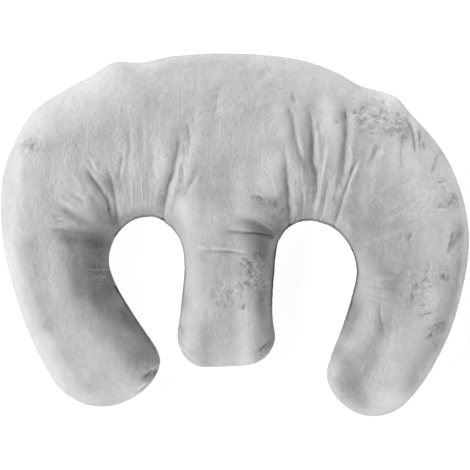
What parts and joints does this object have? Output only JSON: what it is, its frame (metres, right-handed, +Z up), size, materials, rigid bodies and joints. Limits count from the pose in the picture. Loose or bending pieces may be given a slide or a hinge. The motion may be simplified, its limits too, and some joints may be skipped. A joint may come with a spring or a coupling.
{
  "type": "breast support pillow",
  "caption": "Stuffed plush pillow in the shape of a wide band with two curved arms and a middle leg, so that two rounded notches take the breasts.",
  "frame": {"origin": "middle of the box round the pillow, on the surface that it lies on", "axes": "+X across the two arms, +Y from the tips of the arms towards the closed edge of the band, +Z up through the pillow's thickness, which lies on its back"},
  "size_m": [0.6002, 0.4658, 0.1312],
  "materials": {
    "plush": "short-pile light grey plush, slightly crushed"
  },
  "bodies": {
    "root": {"pillow": "plush"}
  },
  "joints": []
}
